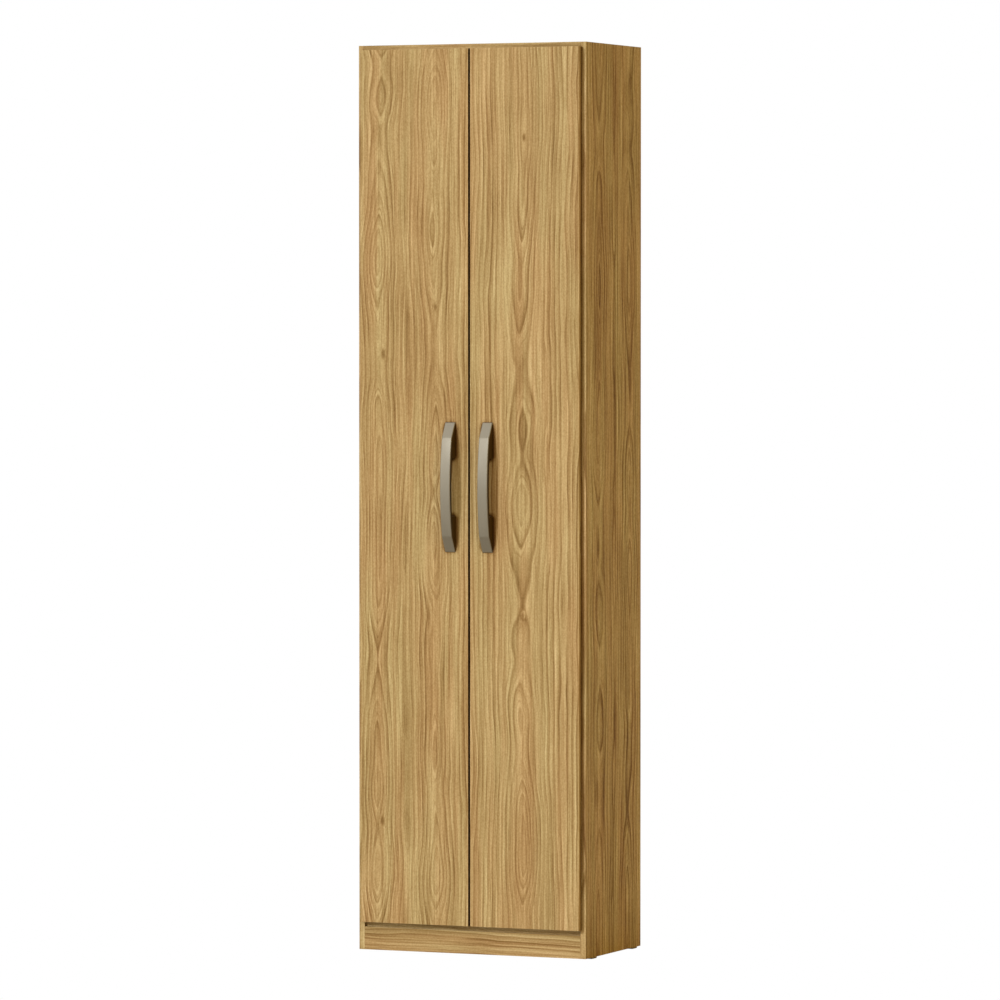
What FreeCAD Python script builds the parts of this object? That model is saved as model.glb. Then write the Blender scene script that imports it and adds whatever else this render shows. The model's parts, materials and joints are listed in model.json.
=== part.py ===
import FreeCAD
import Part
import Sketcher
import math
import os
import re

# Tall two-door broom cupboard of wood-look board, in millimetres.
# The origin is on the floor under the middle of the whole cupboard, the doors face -Y and +Z is up.

SIZES = {
    # Carcass boards.
    "cabinet_width": 500,
    "cabinet_height": 1840,
    "side_depth": 290,
    "carcass_board": 12,
    "back_board": 3,
    "back_inset": 2,
    "back_joint": 1,
    "plinth_height": 46.5,
    "bottom_setback": 8,
    "edge_round": 0.6,
    # Inside fittings.
    "upper_room_height": 336,
    "upper_shelf_setback": 20,
    "divider_offset": 40,
    "divider_setback": 60,
    "small_shelf_setback": 65,
    "small_shelf_play": 1,
    # Doors.
    "door_board": 12,
    "door_reveal": 9.5,
    "door_lift": 10.5,
    "door_gap_back": 1,
    "door_gap_centre": 4,
    # Bow handles.
    "handle_length": 262,
    "handle_width": 22,
    "handle_rise": 28,
    "handle_shoulder": 19,
    "handle_facet": 32,
    "handle_tip": 1.5,
    "handle_bow": 8,
    "finger_gap_arch": 3,
    "handle_edge_bevel": 1.2,
    "finger_gap_length": 116,
    "handle_offset": 41,
    "handle_level": 947,
    "handle_screw_spacing": 192,
    "handle_screw_radius": 2,
    "handle_screw_grip": 11,
    "handle_screw_head_radius": 4,
    "handle_screw_head_height": 2.4,
    # Glide feet.
    "glide_height": 3,
    "glide_length": 26,
    "glide_flat": 22,
    "glide_width": 11,
    "glide_front_inset": 46,
    "glide_back_inset": 30,
    "glide_nail_radius": 1,
    "glide_nail_length": 14,
    "glide_nail_head_radius": 2.4,
    "glide_nail_head_height": 0.8,
    "glide_nail_recess": 0.6,
    # Cam fittings and dowels of the carcass joints.
    "cam_radius": 6,
    "cam_depth": 9.5,
    "cam_setback": 24,
    "cam_inset": 50,
    "cam_slot_length": 8,
    "cam_slot_width": 1.6,
    "cam_slot_depth": 1.8,
    "cam_play": 0.4,
    "bolt_thread_radius": 2.5,
    "bolt_thread_length": 8,
    "bolt_shank_radius": 1.8,
    "bolt_head_radius": 2.6,
    "bolt_head_length": 3,
    "dowel_radius": 3,
    "dowel_in_face": 7.5,
    "dowel_in_edge": 20,
    "plinth_dowel_inset": 12,
    # Shelf pins.
    "pin_radius": 2.5,
    "pin_depth": 8,
    "pin_tab_reach": 9,
    "pin_tab_width": 10,
    "pin_tab_height": 5,
    "pin_inset": 40,
    # Nails of the back sheets.
    "nail_radius": 0.8,
    "nail_length": 16,
    "nail_head_radius": 1.8,
    "nail_head_height": 0.8,
    "nail_end_inset": 40,
    "nail_row_offset": 3,
    # Concealed hinges: levels, cup and screws.
    "hinge_inset": 100,
    "cup_setback": 20.5,
    "cup_radius": 17.5,
    "cup_wall": 0.8,
    "cup_depth": 9.5,
    "cup_floor": 1,
    "cup_mouth_half": 7,
    "cup_relief_half": 5.4,
    "cup_relief_sink": 1.4,
    "cup_cheek_reach": 9.5,
    "cup_flange_depth": 1,
    "cup_flange_height": 62,
    "cup_flange_width": 30,
    "cup_screw_spacing": 48,
    "cup_screw_offset": 6,
    "cup_screw_radius": 1.75,
    "cup_screw_length": 9,
    "cup_screw_head_radius": 3.2,
    "cup_screw_head_height": 1.2,
    # Concealed hinges: pivots. A setback runs from the door's edge, a reach from the side panel.
    "cup_outer_setback": 12.2,
    "cup_outer_sink": 1.5,
    "cup_inner_setback": 16.9,
    "cup_inner_sink": 2.9,
    "arm_outer_reach": 40.7,
    "arm_outer_inset": 21.5,
    "arm_inner_reach": 48,
    "arm_inner_inset": 7.5,
    "slide_play": 1.25,
    "slide_shift_reach": 0.5,
    "slide_shift_inset": 0.85,
    "hinge_pin_radius": 1,
    "running_play": 0.05,
    # Concealed hinges: links, arm and mounting plate. Heights are from the hinge's middle level.
    "inner_link_half": 3.2,
    "link_half_width": 1.65,
    "outer_link_from": 3.5,
    "outer_link_to": 5,
    "outer_pin_from": 3.3,
    "arm_cheek_from": 5.5,
    "arm_cheek_to": 7,
    "arm_web": 1.5,
    "arm_eye": 4.4,
    "arm_flat_from": 26,
    "arm_flat_to": 56,
    "arm_depth": 9,
    "plate_board": 1.5,
    "plate_inset": 38,
    "plate_wing_width": 12,
    "plate_wing_half": 24,
    "plate_screw_half": 16,
    "plate_screw_radius": 2,
    "plate_screw_grip": 8.5,
    "plate_screw_head_radius": 3.6,
    "plate_screw_head_height": 2,
    "arm_screw_inset": 48,
    "arm_screw_radius": 2,
    "arm_screw_grip": 5,
    "arm_screw_head_radius": 3.4,
    "arm_screw_head_height": 2,
    # Play round every glued, pressed or screwed fixing.
    "fit_play": 0.05,
}

DOC = FreeCAD.newDocument("broom_cupboard")
SHEET = DOC.addObject("Spreadsheet::Sheet", "sizes")
for row, (alias, value) in enumerate(SIZES.items(), start=1):
    SHEET.set(f"A{row}", alias)
    SHEET.set(f"B{row}", str(value))
    SHEET.setAlias(f"B{row}", alias)
DOC.recompute()

ALIAS = re.compile(r"[a-z]+(?:_[a-z]+)+")
VECTOR = FreeCAD.Vector
AXES = {
    "x": FreeCAD.Rotation(VECTOR(0, 1, 0), 90),
    "-x": FreeCAD.Rotation(VECTOR(0, 1, 0), -90),
    "y": FreeCAD.Rotation(VECTOR(1, 0, 0), -90),
    "-y": FreeCAD.Rotation(VECTOR(1, 0, 0), 90),
    "z": FreeCAD.Rotation(),
    "-z": FreeCAD.Rotation(VECTOR(1, 0, 0), 180),
}
SAME_PLACE = 1e-6

# Reference planes that many pieces share.
FRONT = "((handle_rise + door_board + door_gap_back - side_depth - back_board) / 2)"
BACK = f"({FRONT} + side_depth)"
INSIDE = "(cabinet_width / 2 - carcass_board)"
FLOOR_UNDER = "(glide_height + plinth_height)"
FLOOR = f"({FLOOR_UNDER} + carcass_board)"
DOOR_BACK = f"({FRONT} - door_gap_back)"
DOOR_FRONT = f"({DOOR_BACK} - door_board)"
DOOR_LOW = f"({FLOOR_UNDER} + door_lift)"
DOOR_HIGH = "(cabinet_height - door_reveal)"
UPPER_SHELF = "(cabinet_height - 2 * carcass_board - upper_room_height)"
SHELF_MIDDLE = f"({UPPER_SHELF} + carcass_board / 2)"
DIVIDER_FACE = "(divider_offset + carcass_board / 2)"

SIDES = {"left": -1, "right": 1}
SMALL_SHELVES = ("low", "mid", "high")
SIDE_NAILS = {"lower_back_sheet": 6, "upper_back_sheet": 2}
HINGE_LEVELS = {
    "lower": f"({DOOR_LOW} + hinge_inset)",
    "middle": f"(({DOOR_LOW} + {DOOR_HIGH}) / 2)",
    "upper": f"({DOOR_HIGH} - hinge_inset)",
}

nodes = []
bores = {}


def bound(text):
    """Expression of the document that reads the named sizes from the sheet."""
    return ALIAS.sub(lambda match: "sizes." + match.group(0), text)


def number(text):
    """Present value of the same expression."""
    values = ALIAS.sub(lambda match: str(SHEET.get(match.group(0))), text)
    return FreeCAD.Units.parseQuantity(values).Value


def seat(piece, at):
    for letter, text in zip("xyz", at):
        piece.setExpression(f"Placement.Base.{letter}", bound(text))
    return piece


def block(name, size, at):
    piece = DOC.addObject("Part::Box", name)
    for side, text in zip(("Length", "Width", "Height"), size):
        piece.setExpression(side, bound(text))
    return seat(piece, at)


def rod(name, radius, length, at, axis):
    piece = DOC.addObject("Part::Cylinder", name)
    piece.setExpression("Radius", bound(radius))
    piece.setExpression("Height", bound(length))
    piece.Placement = FreeCAD.Placement(VECTOR(), AXES[axis])
    return seat(piece, at)


def joined(name, pieces):
    if len(pieces) == 1:
        return pieces[0]
    union = DOC.addObject("Part::MultiFuse", name)
    union.Shapes = pieces
    return union


def drilled(name, base, tools):
    result = DOC.addObject("Part::Cut", name)
    result.Base = base
    result.Tool = joined(name + "_bores", tools)
    return result


def shared(name, first, second):
    result = DOC.addObject("Part::Common", name)
    result.Base = first
    result.Tool = second
    return result


def node(label, piece):
    """Register a finished piece under the name that its file takes."""
    piece.Label = label
    nodes.append(piece)
    return piece


def group(label, pieces):
    """Like pieces that share one node as separate solids."""
    cluster = DOC.addObject("Part::Compound", label)
    cluster.Links = pieces
    return node(label, cluster)


def outward(side):
    return "x" if side > 0 else "-x"


def inward(side):
    return "-x" if side > 0 else "x"


def sketch_in(body, role):
    plane = [feature for feature in body.Origin.OriginFeatures if feature.Role == role][0]
    sketch = body.newObject("Sketcher::SketchObject", "outline")
    sketch.AttachmentSupport = [(plane, "")]
    sketch.MapMode = "FlatFace"
    return sketch


def measure(sketch, kind, parts, text):
    index = sketch.addConstraint(Sketcher.Constraint(kind, *parts, number(text)))
    sketch.setExpression(f"Constraints[{index}]", bound(text))


def locate(sketch, geometry, position, at):
    measure(sketch, "DistanceX", (-1, 1, geometry, position), at[0])
    measure(sketch, "DistanceY", (-1, 1, geometry, position), at[1])


def arc_between(start, end, radius, anticlockwise):
    """Minor arc from start to end; its own start and end run anticlockwise."""
    if not anticlockwise:
        return arc_between(end, start, radius, True)
    chord = end - start
    height = math.sqrt(radius * radius - chord.Length * chord.Length / 4)
    left = VECTOR(-chord.y, chord.x, 0).normalize()
    centre = start + chord / 2 + left * height
    angles = [math.atan2(point.y - centre.y, point.x - centre.x) for point in (start, end)]
    if angles[1] < angles[0]:
        angles[1] += 2 * math.pi
    return Part.ArcOfCircle(Part.Circle(centre, VECTOR(0, 0, 1), radius), angles[0], angles[1])


def draw_outline(sketch, corners, arcs=None):
    """Closed outline through the corners. arcs gives an edge's radius and its sense of turn."""
    arcs = arcs or {}
    points = [VECTOR(number(x), number(y), 0) for x, y in corners]
    count = len(points)
    ends = []
    for index, start in enumerate(points):
        end = points[(index + 1) % count]
        if index in arcs:
            radius, anticlockwise = arcs[index]
            geometry = sketch.addGeometry(arc_between(start, end, number(radius), anticlockwise), False)
            ends.append((geometry, 1, 2) if anticlockwise else (geometry, 2, 1))
        else:
            geometry = sketch.addGeometry(Part.LineSegment(start, end), False)
            ends.append((geometry, 1, 2))
    for index, (geometry, first, last) in enumerate(ends):
        following, follow_first, _ = ends[(index + 1) % count]
        sketch.addConstraint(Sketcher.Constraint("Coincident", geometry, last, following, follow_first))
    for (geometry, first, last), corner in zip(ends, corners):
        locate(sketch, geometry, first, corner)
    for index, (radius, _) in arcs.items():
        measure(sketch, "Radius", (ends[index][0],), radius)


def draw_hole(sketch, at, radius):
    centre = VECTOR(number(at[0]), number(at[1]), 0)
    geometry = sketch.addGeometry(Part.Circle(centre, VECTOR(0, 0, 1), number(radius)), False)
    locate(sketch, geometry, 3, at)
    measure(sketch, "Radius", (geometry,), radius)


def draw_bar(sketch, start, end, half_width):
    """Straight bar with round ends about two centres."""
    first = VECTOR(number(start[0]), number(start[1]), 0)
    last = VECTOR(number(end[0]), number(end[1]), 0)
    radius = number(half_width)
    along = (last - first).normalize()
    left = VECTOR(-along.y, along.x, 0) * radius
    turn = math.atan2(left.y, left.x)
    far = Part.ArcOfCircle(Part.Circle(last, VECTOR(0, 0, 1), radius), turn - math.pi, turn)
    near = Part.ArcOfCircle(Part.Circle(first, VECTOR(0, 0, 1), radius), turn, turn + math.pi)
    far_arc = sketch.addGeometry(far, False)
    near_arc = sketch.addGeometry(near, False)
    left_line = sketch.addGeometry(Part.LineSegment(last + left, first + left), False)
    right_line = sketch.addGeometry(Part.LineSegment(first - left, last - left), False)
    for pair in ((far_arc, 2, left_line, 1), (left_line, 2, near_arc, 1),
                 (near_arc, 2, right_line, 1), (right_line, 2, far_arc, 1)):
        sketch.addConstraint(Sketcher.Constraint("Tangent", *pair))
    sketch.addConstraint(Sketcher.Constraint("Equal", far_arc, near_arc))
    measure(sketch, "Radius", (far_arc,), half_width)
    locate(sketch, near_arc, 3, start)
    locate(sketch, far_arc, 3, end)


def pad(body, sketch, length, midplane=False):
    feature = body.newObject("PartDesign::Pad", "pad")
    feature.Profile = sketch
    feature.Midplane = midplane
    feature.setExpression("Length", bound(length))
    DOC.recompute([feature])
    return feature


def rounded(body, feature, radius, chosen):
    """Round the edges that chosen() accepts."""
    names = [f"Edge{index}" for index, edge in enumerate(feature.Shape.Edges, start=1) if chosen(edge)]
    fillet = body.newObject("PartDesign::Fillet", "rounding")
    fillet.Base = (feature, names)
    fillet.setExpression("Radius", bound(radius))


def bevelled(body, feature, size, chosen):
    """Bevel the edges that chosen() accepts."""
    names = [f"Edge{index}" for index, edge in enumerate(feature.Shape.Edges, start=1) if chosen(edge)]
    chamfer = body.newObject("PartDesign::Chamfer", "bevel")
    chamfer.Base = (feature, names)
    chamfer.setExpression("Size", bound(size))


def on_front(edge):
    return all(abs(vertex.Y) < SAME_PLACE for vertex in edge.Vertexes)


def upright(edge):
    return abs(edge.tangentAt(edge.FirstParameter).z) > 1 - SAME_PLACE


def faced_board(name, size, at, chosen):
    """Board on end, with the chosen edges of its face rounded."""
    body = DOC.addObject("PartDesign::Body", name)
    sketch = sketch_in(body, "XY_Plane")
    width, depth, height = size
    draw_outline(sketch, [("0", "0"), (width, "0"), (width, depth), ("0", depth)])
    rounded(body, pad(body, sketch, height), "edge_round", chosen)
    return seat(body, at)


def bore(board, radius, length, at, axis):
    bores.setdefault(board, []).append(rod("bore", f"{radius} + fit_play", length, at, axis))


def finish_board(label, base):
    node(label, drilled(label, base, bores[label]) if label in bores else base)


def corner_joint(board, level, side, across, cams, bolts):
    """Cam, bolt and their bores at one end of a shelf or panel."""
    side_panel = "left_side_panel" if side < 0 else "right_side_panel"
    end = f"{side} * {INSIDE}"
    middle = f"{level} + carcass_board / 2"
    cam_place = f"{side} * ({INSIDE} - cam_setback)"
    seam = (end, across, middle)
    out = outward(side)
    bolt = [
        rod("bolt_thread", "bolt_thread_radius", "bolt_thread_length", seam, out),
        rod("bolt_shank", "bolt_shank_radius", "cam_setback", seam, inward(side)),
        rod("bolt_head", "bolt_head_radius", "bolt_head_length", (cam_place, across, middle), out),
    ]
    bolts.append(joined("cam_bolt", bolt))
    barrel = rod("cam_barrel", "cam_radius", "cam_depth", (cam_place, across, level), "z")
    mouth = (f"{side} * ({INSIDE} - cam_setback - cam_play)", across, middle)
    hollow = rod("cam_hollow", "bolt_head_radius + cam_play", "2 * cam_radius", mouth, out)
    slot_at = (f"{cam_place} - cam_slot_length / 2", f"{across} - cam_slot_width / 2", level)
    slot = block("cam_slot", ("cam_slot_length", "cam_slot_width", "cam_slot_depth"), slot_at)
    cams.append(drilled("cam_lock", barrel, [hollow, slot]))
    bore(side_panel, "bolt_thread_radius", "bolt_thread_length + fit_play", seam, out)
    bore(board, "bolt_head_radius + cam_play", "cam_setback", seam, inward(side))
    bore(board, "cam_radius", "cam_depth + fit_play", (cam_place, across, level), "z")


def dowel_joint(face_board, edge_board, at, axis, dowels):
    """Dowel half in a board's face and half in another board's edge. The axis points into the face."""
    back = "-" + axis if len(axis) == 1 else axis[1:]
    stub = rod("dowel_in_face", "dowel_radius", "dowel_in_face", at, axis)
    tail = rod("dowel_in_edge", "dowel_radius", "dowel_in_edge", at, back)
    dowels.append(joined("dowel", [stub, tail]))
    bore(face_board, "dowel_radius", "dowel_in_face + fit_play", at, axis)
    bore(edge_board, "dowel_radius", "dowel_in_edge + fit_play", at, back)


def carcass_joints():
    """Joints of the top, the floor, the fixed shelf, the plinth and the divider."""
    cams, bolts, dowels = [], [], []
    ends = {
        "top_panel": ("(cabinet_height - carcass_board)", FRONT),
        "bottom_panel": (FLOOR_UNDER, f"({FRONT} + bottom_setback)"),
        "upper_shelf": (UPPER_SHELF, f"({FRONT} + upper_shelf_setback)"),
    }
    for board, (level, front) in ends.items():
        for name, side in SIDES.items():
            for across in (f"{front} + cam_inset", f"{BACK} - cam_inset"):
                corner_joint(board, level, side, across, cams, bolts)
            at = (f"{side} * {INSIDE}", f"({front} + {BACK}) / 2", f"{level} + carcass_board / 2")
            dowel_joint(f"{name}_side_panel", board, at, outward(side), dowels)
    for name, side in SIDES.items():
        for level in ("glide_height + plinth_dowel_inset", f"{FLOOR_UNDER} - plinth_dowel_inset"):
            at = (f"{side} * {INSIDE}", f"{FRONT} + carcass_board / 2", level)
            dowel_joint(f"{name}_side_panel", "front_plinth", at, outward(side), dowels)
    for across in (f"{FRONT} + divider_setback + cam_inset", f"{BACK} - cam_inset"):
        dowel_joint("upper_shelf", "centre_divider", ("divider_offset", across, UPPER_SHELF), "z", dowels)
        dowel_joint("bottom_panel", "centre_divider", ("divider_offset", across, FLOOR), "-z", dowels)
    group("cam_locks", cams)
    group("cam_bolts", bolts)
    group("dowels", dowels)


def small_shelves():
    """Three loose shelves in the right bay, each on four pins with flat tabs."""
    left_end = f"({DIVIDER_FACE} + small_shelf_play)"
    right_end = f"({INSIDE} - small_shelf_play)"
    front = f"({FRONT} + small_shelf_setback)"
    rooms = len(SMALL_SHELVES) + 1
    step = f"(({UPPER_SHELF} - {FLOOR} + carcass_board) / {rooms})"
    pins = []
    for count, name in enumerate(SMALL_SHELVES, start=1):
        level = f"({FLOOR} - carcass_board + {count} * {step})"
        size = (f"{right_end} - {left_end}", "side_depth - small_shelf_setback", "carcass_board")
        node(f"{name}_shelf", block(f"{name}_shelf", size, (left_end, front, level)))
        for across in (f"{front} + pin_inset", f"{BACK} - pin_inset"):
            middle = f"{level} - pin_tab_height / 2"
            tab_size = ("pin_tab_reach", "pin_tab_width", "pin_tab_height")
            tab_row = (f"{across} - pin_tab_width / 2", f"{level} - pin_tab_height")
            for wall, board, axis, tab_start in (
                (DIVIDER_FACE, "centre_divider", "-x", DIVIDER_FACE),
                (INSIDE, "right_side_panel", "x", f"{INSIDE} - pin_tab_reach"),
            ):
                peg = rod("pin_peg", "pin_radius", "pin_depth", (wall, across, middle), axis)
                tab = block("pin_tab", tab_size, (tab_start, *tab_row))
                pins.append(joined("shelf_pin", [peg, tab]))
                bore(board, "pin_radius", "pin_depth + fit_play", (wall, across, middle), axis)
    group("shelf_pins", pins)


def nail(sheet, board, x, z, nails):
    """Flat-headed nail through a back sheet into a board's back edge."""
    rear = f"{BACK} + back_board"
    shank = rod("nail_shank", "nail_radius", "nail_length", (x, rear, z), "-y")
    head = rod("nail_head", "nail_head_radius", "nail_head_height", (x, rear, z), "-y")
    nails.append(joined("nail", [shank, head]))
    bore(sheet, "nail_radius", "nail_length", (x, rear, z), "-y")
    bore(sheet, "nail_head_radius", "nail_head_height", (x, rear, z), "-y")
    bore(board, "nail_radius", "nail_length + fit_play", (x, rear, z), "-y")


def back_sheets():
    """Two thin sheets that meet behind the fixed shelf, nailed to every back edge."""
    low = f"({FLOOR_UNDER} + back_inset)"
    high = "(cabinet_height - back_inset)"
    rows = {
        "lower_back_sheet": (low, f"({SHELF_MIDDLE} - back_joint / 2)"),
        "upper_back_sheet": (f"({SHELF_MIDDLE} + back_joint / 2)", high),
    }
    nails = []
    for sheet, (bottom, top) in rows.items():
        count = SIDE_NAILS[sheet]
        for name, side in SIDES.items():
            for step in range(count):
                run = f"({top} - {bottom} - 2 * nail_end_inset) * {step} / {count - 1}"
                place = f"{side} * (cabinet_width / 2 - carcass_board / 2)"
                nail(sheet, f"{name}_side_panel", place, f"{bottom} + nail_end_inset + {run}", nails)
    edges = (
        ("lower_back_sheet", "bottom_panel", f"{FLOOR_UNDER} + carcass_board / 2"),
        ("lower_back_sheet", "upper_shelf", f"{SHELF_MIDDLE} - nail_row_offset"),
        ("upper_back_sheet", "upper_shelf", f"{SHELF_MIDDLE} + nail_row_offset"),
        ("upper_back_sheet", "top_panel", "cabinet_height - carcass_board / 2"),
    )
    for sheet, board, level in edges:
        for step in (-1, 0, 1):
            nail(sheet, board, f"{step} * ({INSIDE} - nail_end_inset)", level, nails)
    group("back_nails", nails)
    for sheet, (bottom, top) in rows.items():
        size = ("cabinet_width - 2 * back_inset", "back_board", f"{top} - {bottom}")
        at = ("back_inset - cabinet_width / 2", BACK, bottom)
        finish_board(sheet, block(sheet + "_blank", size, at))


def glide_feet():
    """Boat-shaped glides nailed under the side panels."""
    nails = []
    for name, side in SIDES.items():
        middle = f"{side} * (cabinet_width / 2 - carcass_board / 2)"
        rows = {"front": f"{FRONT} + glide_front_inset", "rear": f"{BACK} - glide_back_inset"}
        for row, across in rows.items():
            label = f"{row}_{name}_glide"
            body = DOC.addObject("PartDesign::Body", label + "_blank")
            sketch = sketch_in(body, "YZ_Plane")
            draw_outline(sketch, [
                ("-glide_flat / 2", "0"),
                ("glide_flat / 2", "0"),
                ("glide_length / 2", "glide_height"),
                ("-glide_length / 2", "glide_height"),
            ])
            pad(body, sketch, "glide_width", midplane=True)
            seat(body, (middle, across, "0"))
            foot = (middle, across, "glide_nail_recess")
            shank = rod("nail_shank", "glide_nail_radius", "glide_nail_length", foot, "z")
            head = rod("nail_head", "glide_nail_head_radius", "glide_nail_head_height", foot, "z")
            nails.append(joined("glide_nail", [shank, head]))
            bore(label, "glide_nail_head_radius", "glide_nail_recess + glide_nail_head_height",
                 (middle, across, "0"), "z")
            bore(label, "glide_nail_radius", "glide_nail_length", foot, "z")
            bore(f"{name}_side_panel", "glide_nail_radius", "glide_nail_length + fit_play", foot, "z")
            finish_board(label, body)
    group("glide_nails", nails)


def bow_handle(label, middle):
    """Bow handle with flat end facets, standing on the door by two solid legs."""
    half = "(handle_length / 2)"
    crease = f"({half} - handle_facet)"
    swell = "(handle_rise - handle_shoulder)"
    outer = f"(({crease} * {crease} + {swell} * {swell}) / (2 * {swell}))"
    gap = "(finger_gap_length / 2)"
    inner = f"(({gap} * {gap} + finger_gap_arch * finger_gap_arch) / (2 * finger_gap_arch))"
    gap_top = "(handle_rise - handle_bow - finger_gap_arch)"
    body = DOC.addObject("PartDesign::Body", label + "_blank")
    sketch = sketch_in(body, "YZ_Plane")
    corners = [
        ("0", f"-{half}"),
        ("0", f"-{gap}"),
        (f"-{gap_top}", f"-{gap}"),
        (f"-{gap_top}", gap),
        ("0", gap),
        ("0", half),
        ("-handle_tip", half),
        ("-handle_shoulder", crease),
        ("-handle_shoulder", f"-{crease}"),
        ("-handle_tip", f"-{half}"),
    ]
    draw_outline(sketch, corners, {2: (inner, False), 7: (outer, True)})
    rise = pad(body, sketch, "handle_width", midplane=True)
    tip = number("handle_tip")
    flank = number("handle_width / 2")
    shoulder = number("handle_shoulder")
    gap_end = number(gap) + SAME_PLACE

    def shows(edge):
        on_flank = all(abs(abs(vertex.X) - flank) < SAME_PLACE for vertex in edge.Vertexes)
        ahead = all(vertex.Y < SAME_PLACE - tip for vertex in edge.Vertexes)
        beyond_gap = max(abs(vertex.Z) for vertex in edge.Vertexes) > gap_end
        return on_flank and ahead and beyond_gap and edge.Length > shoulder

    bevelled(body, rise, "handle_edge_bevel", shows)
    return seat(body, (middle, DOOR_FRONT, "handle_level"))


def door(name, side):
    """Door panel, its handle and the handle's screws."""
    panel = f"{name}_door_panel"
    handle = f"{name}_handle"
    middle = f"{side} * handle_offset"
    screws = []
    for step in (-1, 1):
        level = f"handle_level + {step} * handle_screw_spacing / 2"
        at = (middle, DOOR_BACK, level)
        foot = (middle, DOOR_FRONT, level)
        shank = rod("screw_shank", "handle_screw_radius", "door_board + handle_screw_grip", at, "-y")
        head = rod("screw_head", "handle_screw_head_radius", "handle_screw_head_height", at, "y")
        screws.append(joined("handle_screw", [shank, head]))
        bore(panel, "handle_screw_radius", "door_board", at, "-y")
        bore(handle, "handle_screw_radius", "handle_screw_grip + fit_play", foot, "-y")
    width = "(cabinet_width / 2 - door_reveal - door_gap_centre / 2)"
    start = "door_reveal - cabinet_width / 2" if side < 0 else "door_gap_centre / 2"
    size = (width, "door_board", f"{DOOR_HIGH} - {DOOR_LOW}")
    blank = faced_board(panel + "_blank", size, (start, DOOR_FRONT, DOOR_LOW), on_front)
    finish_board(panel, blank)
    finish_board(handle, bow_handle(handle, middle))
    group(f"{name}_handle_screws", screws)


def across_from_side(side, reach):
    """Place across the cupboard, measured inwards from a side panel's outer face."""
    return f"({side} * (cabinet_width / 2 - ({reach})))"


def hinge_pivots(side):
    """Plan places of the four pivots of a hinge."""
    pivots = {}
    for row in ("outer", "inner"):
        pivots[f"arm_{row}"] = (across_from_side(side, f"carcass_board + arm_{row}_reach"),
                                f"({FRONT} + arm_{row}_inset)")
        pivots[f"cup_{row}"] = (across_from_side(side, f"door_reveal + cup_{row}_setback"),
                                f"({DOOR_BACK} - cup_{row}_sink)")
    return pivots


def link_bar(name, start, end, low, high, hole_play):
    """Flat link between two pivots, from one level to another, bored for its pins."""
    body = DOC.addObject("PartDesign::Body", name)
    sketch = sketch_in(body, "XY_Plane")
    draw_bar(sketch, start, end, "link_half_width")
    for at, play in zip((start, end), hole_play):
        draw_hole(sketch, at, f"hinge_pin_radius + {play}")
    pad(body, sketch, f"{high} - {low}")
    return seat(body, ("0", "0", low))


def mounting_plate(label, side, level):
    """Winged plate that is screwed to the side panel and carries the arm."""
    face = across_from_side(side, "carcass_board")
    low_x = face if side < 0 else f"{face} - plate_board"
    wing = block("plate_wing", ("plate_board", "plate_wing_width", "2 * plate_wing_half"),
                 (low_x, f"{FRONT} + plate_inset - plate_wing_width / 2", f"{level} - plate_wing_half"))
    bed = block("plate_bed", ("plate_board", "arm_flat_to - arm_flat_from", "2 * arm_cheek_to"),
                (low_x, f"{FRONT} + arm_flat_from", f"{level} - arm_cheek_to"))
    return joined(label + "_blank", [wing, bed])


def hinge_arm(name, side, level, pivots):
    """Channel-shaped arm from the mounting plate to the two arm pivots."""
    base = across_from_side(side, "carcass_board + plate_board")
    far = across_from_side(side, "carcass_board + plate_board + arm_depth")
    outer_x, outer_y = pivots["arm_outer"]
    inner_x, inner_y = pivots["arm_inner"]
    nose = f"({inner_y} - arm_inner_inset + door_gap_back / 2)"
    body = DOC.addObject("PartDesign::Body", name)
    sketch = sketch_in(body, "XY_Plane")
    corners = [
        (base, f"{FRONT} + arm_flat_from"),
        (f"{inner_x} + {side} * arm_eye", nose),
        (f"{inner_x} - {side} * arm_eye", nose),
        (f"{inner_x} - {side} * arm_eye", f"{inner_y} + arm_eye"),
        (f"{outer_x} - {side} * arm_eye", f"{outer_y} + arm_eye"),
        (far, f"{FRONT} + arm_flat_from + arm_depth"),
        (far, f"{FRONT} + arm_flat_to"),
        (base, f"{FRONT} + arm_flat_to"),
    ]
    draw_outline(sketch, corners[::-side])
    draw_hole(sketch, pivots["arm_outer"], "hinge_pin_radius + running_play")
    slide = (f"{inner_x} - {side} * slide_shift_reach", f"{inner_y} - slide_shift_inset")
    draw_hole(sketch, slide, "hinge_pin_radius + slide_play")
    pad(body, sketch, "2 * arm_cheek_to", midplane=True)
    seat(body, ("0", "0", level))
    web = across_from_side(side, "carcass_board + plate_board + arm_web")
    room_start = web if side < 0 else f"{web} - cabinet_width / 2"
    room = block("arm_room", ("cabinet_width / 2", "2 * arm_flat_to", "2 * arm_cheek_from"),
                 (room_start, FRONT, f"{level} - arm_cheek_from"))
    return drilled(name + "_channel", body, [room])


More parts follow.
